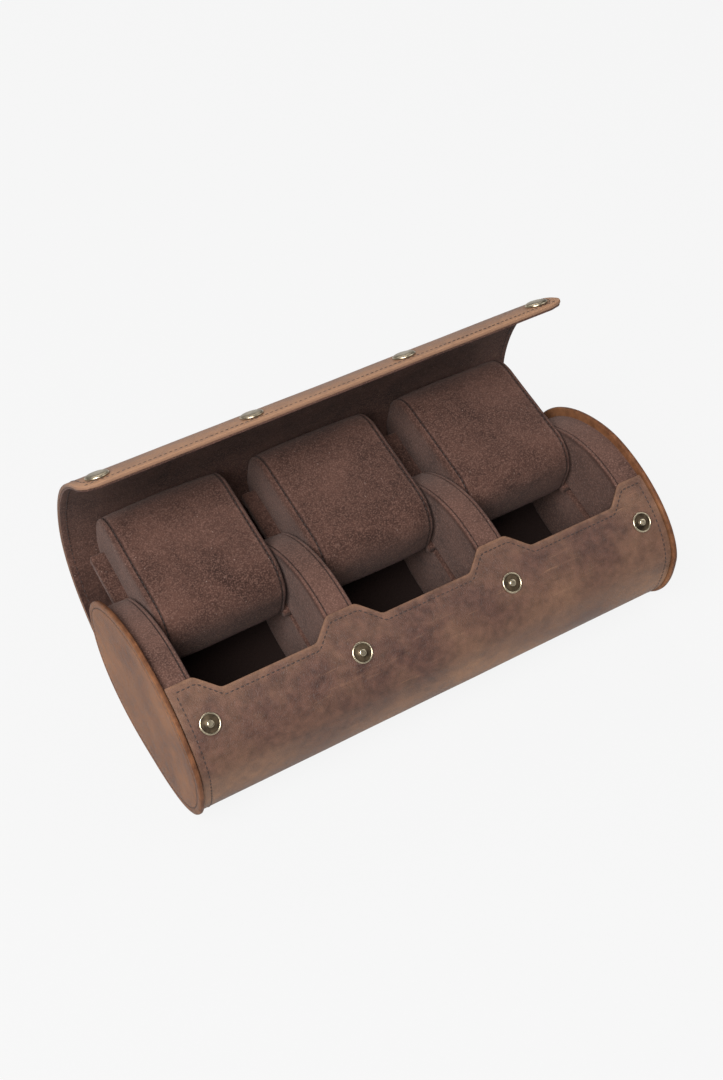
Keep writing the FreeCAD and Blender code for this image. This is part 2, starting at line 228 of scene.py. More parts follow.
# Positive values pale the hide where it is rubbed; negative values are painted shade, as on the discs' rim
# sides.
wear_and_shade_tone = g.math("MULTIPLY", given["Rub"], g.ramp(mottle, 0.25, 0.75, 0.55, 1.15))
pale = g.math("ADD", pale, wear_and_shade_tone, clamp=True)
body = g.mix(g.ramp(mottle, 0.3, 0.72), given["Dark"], given["Middle"])
pore_cells = g.add("ShaderNodeTexVoronoi", {"feature": "DISTANCE_TO_EDGE"},
                   Vector=given["Place"], Scale=1150.0)
pore = g.ramp(pore_cells.outputs["Distance"], 0.0, 0.12)
coloured = g.mix(pale, body, given["Pale"])
coloured = g.mix(g.ramp(pore, 0.0, 1.0, 0.16, 0.0), coloured, given["Dark"])
g.feed(out, "Colour", coloured)
waxed = g.ramp(pale, 0.0, 1.0, 0.47, 0.62)
g.feed(out, "Roughness", g.math("ADD", waxed, g.ramp(mottle, 0.3, 0.7, -0.05, 0.05)))
relief = g.math("ADD", g.math("MULTIPLY", pore, 0.35), g.math("MULTIPLY", mottle, 0.5))
relief = g.math("SUBTRACT", relief, g.math("MULTIPLY", scratch, 0.25))
g.feed(out, "Height", relief)


def attribute_value(graph, name):
    return graph.add("ShaderNodeAttribute", {"attribute_name": name}).outputs["Fac"]


def hide_material(name, dark, middle, pale, cloudiness=1.0, specular=0.26):
    made, shader, graph = material(name)
    at = graph.add("ShaderNodeTexCoord").outputs["Object"]
    tree = bpy.data.node_groups["pull_up_hide"]
    skin = graph.add("ShaderNodeGroup", {"node_tree": tree}, Place=at, Dark=dark, Middle=middle, Pale=pale,
                     Rub=attribute_value(graph, "rub"), Cloudiness=cloudiness)
    graph.feed(shader, "Base_Color", skin.outputs["Colour"])
    graph.feed(shader, "Roughness", skin.outputs["Roughness"])
    shader.inputs["Specular IOR Level"].default_value = specular
    bump = graph.add("ShaderNodeBump", Height=skin.outputs["Height"])
    bump.inputs["Strength"].default_value = 0.5
    bump.inputs["Distance"].default_value = 0.0006
    graph.feed(shader, "Normal", bump.outputs[0])
    return made


THREAD, shader, graph = material("waxed_thread")
at = graph.add("ShaderNodeTexCoord").outputs["Object"]
ply = graph.noise(at, 2200.0, 2.0)
graph.feed(shader, "Base_Color", graph.mix(ply, (0.010, 0.005, 0.004, 1), (0.035, 0.017, 0.012, 1)))
shader.inputs["Roughness"].default_value = 0.62
bump = graph.add("ShaderNodeBump", Height=ply)
bump.inputs["Strength"].default_value = 0.4
bump.inputs["Distance"].default_value = 0.0002
graph.feed(shader, "Normal", bump.outputs[0])


# One attribute holds two things: rubbing, whose positive values pale the surface, and painted shade, whose
# negative values darken it.
def wear_and_shade_layer(bm):
    return bm.verts.layers.float.get("rub") or bm.verts.layers.float.new("rub")


def finish_piece(name, bm, materials, body, replaces=(), sharp=40.0):
    """Turn a bmesh into a shown piece: smooth faces, sharp folds kept, riding on its body."""
    bmesh.ops.recalc_face_normals(bm, faces=bm.faces)
    for face in bm.faces:
        face.smooth = True
    for edge in bm.edges:
        if len(edge.link_faces) == 2:
            edge.smooth = edge.calc_face_angle(0.0) < math.radians(sharp)
    mesh = bpy.data.meshes.new(name)
    bm.to_mesh(mesh)
    bm.free()
    for made in materials:
        mesh.materials.append(made)
    obj = link(bpy.data.objects.new(name, mesh))
    if body:
        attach(obj, body)
    if replaces:
        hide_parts(*replaces)
    return obj


def sew(bm, line, pitch, length, width, proud, index):
    """Sew a running stitch along a line of (point, normal): each stitch is a small sunken pill."""
    thread = bmesh.new()
    travelled, due = 0.0, pitch / 2
    for (point, normal), (after, _) in zip(line, line[1:]):
        step = (after - point).length
        while step > 0 and travelled + step >= due:
            centre = point.lerp(after, (due - travelled) / step)
            along = (after - point).normalized()
            side = normal.cross(along).normalized()
            up = along.cross(side)
            turn = Matrix((along * length / 2, side * width / 2, up * proud)).transposed().to_4x4()
            bmesh.ops.create_uvsphere(
                thread, u_segments=6, v_segments=4, radius=1.0,
                matrix=Matrix.Translation(centre) @ turn @ Matrix.Rotation(math.pi / 2, 4, "Y"))
            due += pitch
        travelled += step
    for face in thread.faces:
        face.material_index = index
    spool = bpy.data.meshes.new("spool")
    thread.to_mesh(spool)
    thread.free()
    bm.from_mesh(spool)
    bpy.data.meshes.remove(spool)


DISC_HIDE = hide_material(
    "disc_hide", (0.060, 0.023, 0.011, 1), (0.165, 0.066, 0.029, 1), (0.36, 0.170, 0.080, 1), 1.25, 0.12)
STITCH_PITCH = 2.3 * MM
DISC_INNER = abs(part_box("left_end_board")[1].x)
DISC_SEGMENTS = 180
DISC_SEAM = 3.1 * MM
# the disc's profile, from its inner face outwards: how far in from the outline, and the rubbing there; the
# negative values on the rim's side band are painted shade
DISC_PROFILE = [
    (0.0, 0.9, 0.0), (0.15, 0.3, 0.0), (0.5, 0.0, -0.3), (1.3, 0.0, -0.3), (1.8, 0.22, 0.0),
    (2.1, 0.7, 0.0), (2.2, 1.4, 0.05), (2.2, 2.4, 0.0), (2.05, 2.75, 0.0), (1.98, 3.1, 0.0),
    (2.05, 3.45, 0.0), (2.2, 3.8, 0.1), (2.2, 6.0, 0.05), (2.17, 10.0, 0.0), (2.12, 16.0, 0.0),
    (2.1, 22.0, 0.0), (2.1, 28.0, 0.0),
]


def oval_ring(bm, count, x, side, top, low, floor):
    """The first ring of a lofted oval piece. Each corner remembers its angle for the rings that follow."""
    turn = bm.verts.layers.float.new("turn")
    made = bmesh.ops.create_circle(bm, segments=count, radius=1.0)
    for vert in made["verts"]:
        vert[turn] = math.atan2(vert.co.y, vert.co.x) % (2 * math.pi)
    place_ring(made["verts"], turn, x, side, top, low, floor)
    return turn, list({edge for vert in made["verts"] for edge in vert.link_edges})


def place_ring(verts, turn, x, side, top, low, floor):
    for vert in verts:
        y, z = oval(vert[turn], side, top, low, floor)
        vert.co = Vector((x, y, z))


def next_ring(bm, turn, edges, x, side, top, low, floor):
    """Extrude the open ring of edges to a new place. Returns the new ring's edges."""
    made = bmesh.ops.extrude_edge_only(bm, edges=edges)["geom"]
    place_ring([e for e in made if isinstance(e, bmesh.types.BMVert)], turn, x, side, top, low, floor)
    ring = [e for e in made if isinstance(e, bmesh.types.BMEdge)]
    return [e for e in ring if len(e.link_faces) == 1]


def disc_x(side, depth):
    """Across the roll: depth millimetres outwards from the disc's inner face."""
    return side * (DISC_INNER + depth * MM)


for side, end in ((-1, "left"), (1, "right")):
    bm = bmesh.new()
    rub = wear_and_shade_layer(bm)
    depth, inset, _ = DISC_PROFILE[0]
    turn, ring = oval_ring(bm, DISC_SEGMENTS, disc_x(side, depth), *([inset * MM] * 3), 0.0)
    bmesh.ops.contextual_create(bm, geom=ring)
    for depth, inset, wear_and_shade_value in DISC_PROFILE[1:]:
        floor_here = inset * MM if inset > 0.8 else 0.0
        ring = next_ring(bm, turn, ring, disc_x(side, depth), *([inset * MM] * 3), floor_here)
        for edge in ring:
            for vert in edge.verts:
                vert[rub] = wear_and_shade_value
    bmesh.ops.contextual_create(bm, geom=ring)
    seam = []
    for step in range(361):
        y, z = oval(math.radians(step), *([DISC_SEAM] * 3), DISC_SEAM)
        seam.append((Vector((disc_x(side, 2.02), y, z)), Vector((side, 0, 0))))
    sew(bm, seam, STITCH_PITCH, 1.6 * MM, 0.55 * MM, 0.2 * MM, 1)
    finish_piece(f"{end}_disc_leather", bm, [DISC_HIDE, THREAD], "tray",
                 [f"{end}_end_cover", f"{end}_end_board"])

# ------------------------------------------------------------------ the hide: tray wrap and lid in one sheet
# One sheet of leather starts at the tabbed front edge, runs under the tray and goes on as the lid.
# It has burnished cut edges and a row of stitches inside every edge.
TRAY_HIDE = hide_material(
    "tray_hide", (0.036, 0.016, 0.012, 1), (0.094, 0.043, 0.031, 1), (0.29, 0.155, 0.086, 1), 0.95, 0.28)
EDGE_HIDE = hide_material(
    "cut_edge_hide", (0.060, 0.025, 0.014, 1), (0.120, 0.053, 0.030, 1), (0.22, 0.12, 0.072, 1), 0.6)
TRAY_THICK, LID_THICK = 1.3 * MM, 1.5 * MM
LIP = 1.5 * MM
WRAP_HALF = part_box("outer_wrap_leather")[1].x
LID_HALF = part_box("lid_leather_1")[1].x
TAB_ANGLE = math.radians(118.2)
ROOT = Vector((40.0 * MM, AXIS - 33.2 * MM))
ROOT_ANGLE = math.radians(14.5)
PANEL = 39.5 * MM
PANEL_TURNS = [math.radians(turn) for turn in (35.0, 48.0, 26.0, 34.0)]
STEP = 1.0 * MM


def lid_arcs():
    """The open lid's outer line: four arcs, one to a panel, each tangent to the last."""
    point, angle, line = ROOT.copy(), ROOT_ANGLE, []
    count = 80
    for turn in PANEL_TURNS:
        for _ in range(count):
            line.append(point.copy())
            angle += turn / count / 2
            point += Vector((math.cos(angle), math.sin(angle))) * PANEL / count
            angle += turn / count / 2
    return line + [point]


def wrap_arc():
    """The tray wrap's outer line, from the tabs' top edge down the front and under to the lid's root."""
    angle, line = TAB_ANGLE, []
    while True:
        point = Vector(oval(angle, LIP, LIP, 0.3 * MM, 0.0))
        if angle > 1.5 * math.pi and point.x > ROOT.x - 5 * MM:
            return line
        line.append(point)
        angle += math.radians(0.5)


def even(line, step):
    """Walk a line of points and return points a step apart."""
    out, left = [line[0]], step
    for a, b in zip(line, line[1:]):
        length, done = (b - a).length, 0.0
        while length - done >= left:
            done += left
            out.append(a.lerp(b, done / length))
            left = step
        left -= length - done
    return out


def soften(line, centre, reach, passes):
    """Smooth a line near one point, so that the leather bends there and doesn't crease."""
    for _ in range(passes):
        inner = [(a + b * 2 + c) / 4 if (b - centre).length < reach else b
                 for a, b, c in zip(line, line[1:], line[2:])]
        line = [line[0]] + inner + [line[-1]]
    return line


skin_line = even(wrap_arc() + [p for p in lid_arcs() if (p - ROOT).length > 3 * MM], STEP)
skin_line = even(soften(skin_line, ROOT, 12 * MM, 24), STEP)
SKIN_LENGTH = (len(skin_line) - 1) * STEP
ROOT_AT = SKIN_LENGTH - 4 * PANEL


def on_skin(travel, depth, x):
    """A point of the hide: travel along the skin line, depth under its outer face."""
    at = min(max(travel / STEP, 0.0), len(skin_line) - 1.001)
    low = int(at)
    here = skin_line[low].lerp(skin_line[low + 1], at - low)
    a, b = max(low - 2, 0), min(low + 3, len(skin_line) - 1)
    along = (skin_line[b] - skin_line[a]).normalized()
    inward = Vector((-along.y, along.x))
    point = here + inward * depth
    return Vector((x, point.x, point.y)), Vector((0.0, -inward.x, -inward.y))


PLACE_PITCH = 74.65 * MM
NOTCH_TOP, NOTCH_BOTTOM, TAB_DEPTH, TAB_ROUND = 30.5 * MM, 21.6 * MM, 8.7 * MM, 1.1 * MM


def tab_edge(x):
    """How far down the wrap its front edge lies: nothing on the tabs, a dip at each watch place."""
    def sharp(x):
        off = abs(x - PLACE_PITCH * max(-1, min(1, round(x / PLACE_PITCH))))
        return TAB_DEPTH * min(1.0, max(0.0, (NOTCH_TOP - off) / (NOTCH_TOP - NOTCH_BOTTOM)))
    samples = [sharp(x + TAB_ROUND * k / 4) for k in range(-4, 5)]
    return sum(samples) / len(samples)


LID_CORNER = 8.0 * MM


def half_across(travel):
    """Half the sheet's width: a little less on the lid, whose two free corners are rounded."""
    blend = min(max((travel - ROOT_AT + 6 * MM) / (12 * MM), 0.0), 1.0)
    half = WRAP_HALF + (LID_HALF - WRAP_HALF) * blend
    over = travel - (SKIN_LENGTH - LID_CORNER)
    if over <= 0:
        return half
    return half - (LID_CORNER - math.sqrt(max(LID_CORNER ** 2 - min(over, LID_CORNER) ** 2, 0.0)))


def worn_edge(distance):
    """Rubbing near a cut edge: strong on the edge itself, fading over a few millimetres."""
    distance = max(distance, 0.0)
    return 0.22 * math.exp(-distance / (0.7 * MM)) + 0.12 * math.exp(-distance / (4.0 * MM))


def handled(x, travel):
    """Broad rubbed patches, low on the tray's front and along the lid's free edge."""
    if travel > 110 * MM:
        near_edge = math.exp(-((SKIN_LENGTH - travel) / (22 * MM)) ** 2)
        return near_edge * (0.95 + 0.35 * noise.noise(Vector((x * 18, travel * 30, 5.2))))
    low_front = math.exp(-((travel - 60 * MM) / (17 * MM)) ** 2)
    drift = noise.noise(Vector((x * 20, travel * 34, 3.1))) + 0.55
    return 0.85 * low_front * max(drift, 0.0)


def unlit(travel):
    """The lining is painted darker down in the tray, in the shade, and pales up the lid."""
    return -0.95 * min(max((ROOT_AT + 60 * MM - travel) / (62 * MM), 0.0), 1.0)


def swell(x, travel):
    """The sheet's slight unevenness, a tenth of a millimetre or so."""
    return 0.14 * MM * noise.noise(Vector((x * 32, travel * 32, 7.7)))


def sheet(first, last, upper, lower, columns, margin, ends, cut_index=0, lining=False):
    """A stretch of hide or lining: a grid laid on the skin line, thickened, its cut edges rounded.

    upper and lower are depths under the skin line at the two ends of the stretch. margin holds the
    edges back from the hide's. ends holds "tabs" or "free" where a cross edge is a cut edge.
    """
    bm = bmesh.new()
    rub = wear_and_shade_layer(bm)
    across = bm.verts.layers.float.new("across")
    travel_of = bm.verts.layers.float.new("travel")
    rows = max(8, round((last - first) / (1.7 * MM)))
    grid = bmesh.ops.create_grid(bm, x_segments=columns, y_segments=rows, size=1.0)

    def depth_at(pair, travel):
        return pair[0] + (pair[1] - pair[0]) * (travel - first) / (last - first)

    for vert in grid["verts"]:
        u, v = vert.co.x, (vert.co.y + 1) / 2
        x = u * (half_across(first + (last - first) * v) - margin)
        top = tab_edge(x) + margin if "tabs" in ends else first
        foot = last - (margin if "free" in ends else 0.0)
        travel = top + (foot - top) * v
        reach = half_across(travel + (margin if "free" in ends else 0.0)) - margin
        x = u * reach
        edge = reach - abs(x)
        if "tabs" in ends:
            edge = min(edge, travel - top)
        if "free" in ends:
            edge = min(edge, foot - travel)
        # On the lining the attribute holds painted shade, darker down in the tray; on the hide it holds
        # rubbing.
        vert[rub] = unlit(travel) if lining else worn_edge(edge) + handled(x, travel)
        vert[across], vert[travel_of] = x, travel
        vert.co = on_skin(travel, depth_at(upper, travel) + swell(x, travel), x)[0]
    made = bmesh.ops.extrude_face_region(bm, geom=list(bm.faces))["geom"]
    for vert in (v for v in made if isinstance(v, bmesh.types.BMVert)):
        travel = vert[travel_of]
        vert.co = on_skin(travel, depth_at(lower, travel) + swell(vert[across], travel), vert[across])[0]
    bmesh.ops.recalc_face_normals(bm, faces=bm.faces)

    def at_join(vert):
        return ("tabs" not in ends and vert[travel_of] < first + 1e-6) or \
            ("free" not in ends and vert[travel_of] > last - 1e-6)

    rims = [e for e in bm.edges if len(e.link_faces) == 2 and e.calc_face_angle(0) > math.radians(50)
            and not (at_join(e.verts[0]) and at_join(e.verts[1]))]
    side_faces = {f for e in rims for f in e.link_faces if f.calc_area() > 0
                  and abs(f.normal.dot(on_skin(f.verts[0][travel_of], 0, 0)[1])) < 0.5}
    for face in side_faces:
        face.material_index = cut_index
    thickness = abs(lower[0] - upper[0])
    bmesh.ops.bevel(bm, geom=rims, offset=thickness * 0.3, segments=2, profile=0.5, affect="EDGES",
                    material=-1)
    return bm


def edge_line(margin, depth, first, last, ends, flip):
    """Lines of (point, normal) that run inside the cut edges of a stretch of the hide."""
    lines = []
    rows = [first + (last - first) * i / 60 for i in range(61)]
    stop = SKIN_LENGTH - margin if "free" in ends else last
    start = tab_edge(WRAP_HALF) + margin if "tabs" in ends else first
    for side in (-1, 1):
        lines.append([])
        for travel in (t for t in rows if start <= t <= stop):
            half = half_across(min(travel + margin, SKIN_LENGTH)) if "free" in ends else WRAP_HALF
            point, normal = on_skin(travel, depth, side * (half - margin))
            lines[-1].append((point, normal * flip))
    if "tabs" in ends or "free" in ends:
        lines.append([])
        short = margin * (1 if "tabs" in ends else 0.4)
        reach = half_across(SKIN_LENGTH - margin if "free" in ends else 0.0) - short
        for step in range(321):
            x = reach * (step / 160 - 1)
            travel = tab_edge(x) + margin if "tabs" in ends else SKIN_LENGTH - margin
            point, normal = on_skin(travel, depth, x)
            lines[-1].append((point, normal * flip))
    return lines


HIDE_SEAM = 3.4 * MM
HIDE_JOIN = ROOT_AT - 12 * MM
TRAY_COLUMNS, LID_COLUMNS = 300, 120


def sew_edges(bm, depth, first, last, ends, flip, index):
    """Sew along the cut edges of a stretch, at a depth: flip is -1 for stitches on the inside."""
    for line in edge_line(HIDE_SEAM, depth, first, last, ends, flip):
        sew(bm, line, STITCH_PITCH, 1.7 * MM, 0.6 * MM, 0.22 * MM, index)


bm = sheet(0.0, HIDE_JOIN, (0.0, 0.0), (TRAY_THICK, TRAY_THICK), TRAY_COLUMNS, 0.0, ("tabs",), 1)
sew_edges(bm, -0.02 * MM, 0.0, HIDE_JOIN, ("tabs",), 1, 2)
finish_piece("tray_wrap", bm, [TRAY_HIDE, EDGE_HIDE, THREAD], "tray",
             ["outer_wrap_leather"])

LID_STOPS = [HIDE_JOIN, ROOT_AT + PANEL / 2, ROOT_AT + PANEL * 1.5, ROOT_AT + PANEL * 2.5, SKIN_LENGTH]


def bend_between(obj):
    """Bakes the piece's place into its mesh; it rides on no body."""
    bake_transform(obj)


for index in range(4):
    first, last = LID_STOPS[index], LID_STOPS[index + 1]
    ends = ("free",) if index == 3 else ()
    start_depth = TRAY_THICK if index == 0 else LID_THICK
    bm = sheet(first, last, (0.0, 0.0), (start_depth, LID_THICK), LID_COLUMNS, 0.0, ends, 1)
    sew_edges(bm, -0.02 * MM, first, last, ends, 1, 2)
    obj = finish_piece(f"lid_hide_{index + 1}", bm, [TRAY_HIDE, EDGE_HIDE, THREAD], None,
                       [f"lid_leather_{index + 1}"])
    bend_between(obj)

# ------------------------------------------------------------------ suede lining of the tray and the lid
# Short-napped suede covers the inside of the wrap and of the lid in one continuous sheet.
# It reaches almost to the cut edges and is stitched along them, and it opens round each snap socket.
g, given, out = group(
    "brushed_nap",
    [("Place", VECTOR, None), ("Shade", COLOUR, (0.06, 0.04, 0.035, 1)),
     ("Ground", COLOUR, (0.15, 0.1, 0.09, 1)), ("Raised", COLOUR, (0.25, 0.17, 0.15, 1)),
     ("Speck", COLOUR, (0.4, 0.3, 0.26, 1)), ("Rub", FLOAT, 0.0)],
    [("Colour", COLOUR), ("Roughness", FLOAT), ("Height", FLOAT)])
brushed = g.noise(given["Place"], 38.0, 4.0, 0.6, 0.5)
tuft = g.noise(given["Place"], 620.0, 4.0, 0.75)
fine = g.noise(given["Place"], 1500.0, 2.0, 0.6)
tone = g.math("ADD", g.math("MULTIPLY", brushed, 0.55), g.math("MULTIPLY", tuft, 0.45))
lit = g.mix(g.ramp(tone, 0.37, 0.63), given["Shade"], given["Ground"])
fleck = g.math("MULTIPLY", g.ramp(fine, 0.48, 0.66), 0.45)
fleck = g.math("ADD", fleck, g.math("MULTIPLY", given["Rub"], 0.5), clamp=True)
speck = g.add("ShaderNodeTexVoronoi", Vector=given["Place"], Scale=260.0)
speck = g.ramp(speck.outputs["Distance"], 0.03, 0.07, 0.5, 0.0)
napped = g.mix(speck, g.mix(fleck, lit, given["Raised"]), given["Speck"])
# Painted shade: negative values darken the nap towards near black, in seam creases, on the walls' faces and
# on the lining down in the tray.
painted_shade = g.math("MULTIPLY", given["Rub"], -1.0, clamp=True)
g.feed(out, "Colour", g.mix(painted_shade, napped, (0.012, 0.007, 0.006, 1)))
g.feed(out, "Roughness", g.ramp(tuft, 0.3, 0.7, 0.88, 1.0))
g.feed(out, "Height", g.math("ADD", g.math("MULTIPLY", tuft, 0.6), g.math("MULTIPLY", fine, 0.4)))


def suede_material(name, shade, ground, raised):
    made, shader, graph = material(name)
    at = graph.add("ShaderNodeTexCoord").outputs["Object"]
    nap = graph.add("ShaderNodeGroup", {"node_tree": bpy.data.node_groups["brushed_nap"]}, Place=at,
                    Shade=shade, Ground=ground, Raised=raised, Rub=attribute_value(graph, "rub"))
    graph.feed(shader, "Base_Color", nap.outputs["Colour"])
    graph.feed(shader, "Roughness", nap.outputs["Roughness"])
    shader.inputs["Specular IOR Level"].default_value = 0.08
    shader.inputs["Sheen Weight"].default_value = 0.10
    shader.inputs["Sheen Roughness"].default_value = 0.55
    shader.inputs["Sheen Tint"].default_value = (0.86, 0.68, 0.62, 1)
    bump = graph.add("ShaderNodeBump", Height=nap.outputs["Height"])
    bump.inputs["Strength"].default_value = 0.9
    bump.inputs["Distance"].default_value = 0.0008
    graph.feed(shader, "Normal", bump.outputs[0])
    return made


SUEDE = suede_material(
    "mauve_suede", (0.023, 0.0108, 0.0084, 1), (0.080, 0.039, 0.029, 1), (0.185, 0.102, 0.079, 1))

LINING_MARGIN = 0.35 * MM
LINING_FOOT, LINING_FACE = 1.52 * MM, 2.4 * MM
SNAP_ACROSS = [-106.7 * MM, -37.1 * MM, 37.1 * MM, 106.7 * MM]
CAP_AT = SKIN_LENGTH - 9.1 * MM
SOCKET_OPENING = 3.5 * MM
bm = sheet(0.0, HIDE_JOIN, (1.45 * MM, 1.35 * MM), (2.45 * MM, LINING_FACE), TRAY_COLUMNS, LINING_MARGIN,
           ("tabs",), 0, True)
sew_edges(bm, 2.47 * MM, 0.0, HIDE_JOIN, ("tabs",), -1, 1)
finish_piece("tray_suede", bm, [SUEDE, THREAD], "tray", ["tray_lining", "wrap_stiffener"])


def open_round(bm, travel, radius):
    """Cut a round opening through the lining at each snap, hidden under the socket's ring."""
    for x in SNAP_ACROSS:
        centre = on_skin(travel, 2.0 * MM, x)[0]
        inside = [f for f in bm.faces
                  if f.material_index == 0 and (f.calc_center_median() - centre).length < radius]
        edge = {e for f in inside for e in f.edges if any(g not in inside for g in e.link_faces)}
        rim = {v for e in edge for v in e.verts}
        bmesh.ops.delete(bm, geom=inside, context="FACES")
        for vert in (v for v in rim if v.is_valid):
            normal = on_skin(travel, 0.0, x)[1]
            off = vert.co - centre
            lift = normal * off.dot(normal)
            vert.co = centre + lift + (off - lift).normalized() * radius


for index in range(4):
    first, last = LID_STOPS[index], LID_STOPS[index + 1]
    ends = ("free",) if index == 3 else ()
    start_depth = 1.35 * MM if index == 0 else LINING_FOOT
    bm = sheet(first, last, (start_depth, LINING_FOOT), (LINING_FACE, LINING_FACE), LID_COLUMNS,
               LINING_MARGIN, ends, 0, True)
    sew_edges(bm, 2.42 * MM, first, last, ends, -1, 1)
    if index == 3:
        open_round(bm, CAP_AT, SOCKET_OPENING)
    obj = finish_piece(f"lid_suede_{index + 1}", bm, [SUEDE, THREAD], None,
                       [f"lid_lining_{index + 1}"])
    bend_between(obj)

# ------------------------------------------------------------------ walls between the watch places
# Each wall is a stiff core in suede: a band round the rim, sewn to a face panel on each side.
# Slots for the pillows' wing boards are cut into the faces and are open at the back.
WALL_SIDE, WALL_TOP = 4.8 * MM, 4.0 * MM
WALL_LOW = 2.85 * MM
BOARD_BACK = Vector((69.0 * MM, AXIS + 17.5 * MM))
SLOPE = math.radians(15.0)
SLOT_HIGH, SLOT_DEEP, PLACE_HALF, BOARD_THICK = 4.9 * MM, 5.75 * MM, 30.25 * MM, 4.5 * MM
GROOVE_FRONT = -42.0 * MM
WALL_SEGMENTS = 168


def slot_cutter(first, last):
    """A box along the slots' slope, from first to last across, open at the back."""
    bm = bmesh.new()
    made = bmesh.ops.create_cube(bm, size=1.0)
    back, front = 20 * MM, (BOARD_BACK.x - GROOVE_FRONT) / math.cos(SLOPE)
    bmesh.ops.scale(bm, vec=(last - first, front + back, SLOT_HIGH), verts=made["verts"])
    middle = ((first + last) / 2, (back - front) / 2, -BOARD_THICK / 2)
    bmesh.ops.translate(bm, vec=middle, verts=made["verts"])
    bmesh.ops.rotate(bm, cent=(0, 0, 0), matrix=Matrix.Rotation(SLOPE, 3, "X"), verts=made["verts"])
    bmesh.ops.translate(bm, vec=(0, BOARD_BACK.x, BOARD_BACK.y), verts=made["verts"])
    mesh = bpy.data.meshes.new("slot_cutter")
    bm.to_mesh(mesh)
    bm.free()
    return link(bpy.data.objects.new("slot_cutter", mesh))


def settle(obj):
    """Apply every modifier of a piece to its mesh."""
    baked = bpy.data.meshes.new_from_object(obj.evaluated_get(bpy.context.evaluated_depsgraph_get()))
    obj.modifiers.clear()
    old, obj.data = obj.data, baked
    bpy.data.meshes.remove(old)


def cut_slots(obj, spans):
    for first, last in spans:
        cutter = slot_cutter(first, last)
        cut = obj.modifiers.new("slot", "BOOLEAN")
        cut.operation, cut.solver, cut.object = "DIFFERENCE", "EXACT", cutter
        bpy.context.view_layer.update()
        settle(obj)
        bpy.data.objects.remove(cutter)


RIM_SEAM, SEAM_DEEP = 2.0 * MM, 0.8 * MM


def wall_profile(first, last, open_low, open_high):
    """Across the wall: (x, how far in from the rim). Open sides are rounded and have a seam crease."""
    low = [(0.0, 2.6), (0.0, 1.2), (0.25, 0.5), (0.7, 0.12), (1.2, 0.0), (1.6, 0.06), (2.0, 0.8), (2.4, 0.06)]
    plain = [(0.0, 0.0)]
    start = [(first + a * MM, b * MM) for a, b in (low if open_low else plain)]
    stop = [(last - a * MM, b * MM) for a, b in (low if open_high else plain)]
    middle = [(start[-1][0] + (stop[-1][0] - start[-1][0]) * k / 5, -0.12 * MM * math.sin(math.pi * k / 5))
              for k in range(1, 5)]
    return start + middle + stop[::-1]


def wall_insets(inset):
    return WALL_SIDE + inset, WALL_TOP + inset, WALL_LOW + inset, WALL_LOW + inset


def wall_wear_and_shade(inset):
    """The seam's crease is painted dark as shade, the rim's nap pale, and the faces down in the places get
    painted shade.
    """
    if abs(inset - SEAM_DEEP) < 1e-6:
        return -1.0
    return 0.3 if inset < 0.3 * MM else -0.4


def wall_piece(name, first, last, open_low, open_high, spans):
    bm = bmesh.new()
    rub = wear_and_shade_layer(bm)
    profile = wall_profile(first, last, open_low, open_high)
    x, inset = profile[0]
    turn, ring = oval_ring(bm, WALL_SEGMENTS, x, *wall_insets(inset))
    bmesh.ops.contextual_create(bm, geom=ring)
    for x, inset in profile[1:]:
        ring = next_ring(bm, turn, ring, x, *wall_insets(inset))
        for edge in ring:
            for vert in edge.verts:
                vert[rub] = wall_wear_and_shade(inset)
    bmesh.ops.contextual_create(bm, geom=ring)
    obj = finish_piece(name, bm, [SUEDE, THREAD], None, [f"{name}_rim_band", f"{name}_suede_faces"])
    cut_slots(obj, spans)
    bm = bmesh.new()
    bm.from_mesh(obj.data)
    for x_seam, is_open in ((first + RIM_SEAM, open_low), (last - RIM_SEAM, open_high)):
        if is_open:
            line = []
            side, top = WALL_SIDE + 0.5 * MM, WALL_TOP + 0.5 * MM
            for degree in range(-30, 211):
                y, z = oval(math.radians(degree), side, top, WALL_LOW, WALL_LOW)
                away = Vector((0, y, (z - AXIS) * 1.5)).normalized()
                line.append((Vector((x_seam, y, z)), away))
            sew(bm, line, 2.7 * MM, 2.0 * MM, 0.5 * MM, 0.22 * MM, 1)
    for edge in bm.edges:
        if len(edge.link_faces) == 2:
            edge.smooth = edge.calc_face_angle(0.0) < math.radians(38)
    for face in bm.faces:
        face.smooth = True
    bm.to_mesh(obj.data)
    bm.free()
    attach(obj, "tray")


def slot_span(place, side):
    """Where the slot on one side of a watch place lies across the roll."""
    centre = place * PLACE_PITCH
    inner, outer = PLACE_HALF - 3 * MM, PLACE_HALF + SLOT_DEEP
    return tuple(sorted((centre + side * inner, centre + side * outer)))


END_IN, OUTER_EDGE, DIVIDER_OUT = DISC_INNER, PLACE_PITCH + PLACE_HALF, PLACE_PITCH - PLACE_HALF
wall_piece("left_end_wall", -END_IN, -OUTER_EDGE, False, True, [slot_span(-1, -1)])
wall_piece("left_divider", -DIVIDER_OUT, -PLACE_HALF, True, True, [slot_span(-1, 1), slot_span(0, -1)])
wall_piece("right_divider", PLACE_HALF, DIVIDER_OUT, True, True, [slot_span(0, 1), slot_span(1, -1)])
wall_piece("right_end_wall", OUTER_EDGE, END_IN, True, False, [slot_span(1, 1)])

# ------------------------------------------------------------------ watch pillows
# A foam block in suede, tilted on its wing board: a top band sewn to a side gusset on each side.
# Each is drawn full, swelled a little more by a short cloth simulation, and stitched along its seams.
PILLOW_AT = Vector((42.8 * MM, AXIS + 15.8 * MM))
PILLOW_TILT = math.radians(12.0)
PILLOW_LONG, PILLOW_THICK, PILLOW_ROUND = 71.5 * MM, 40.0 * MM, 15.0 * MM


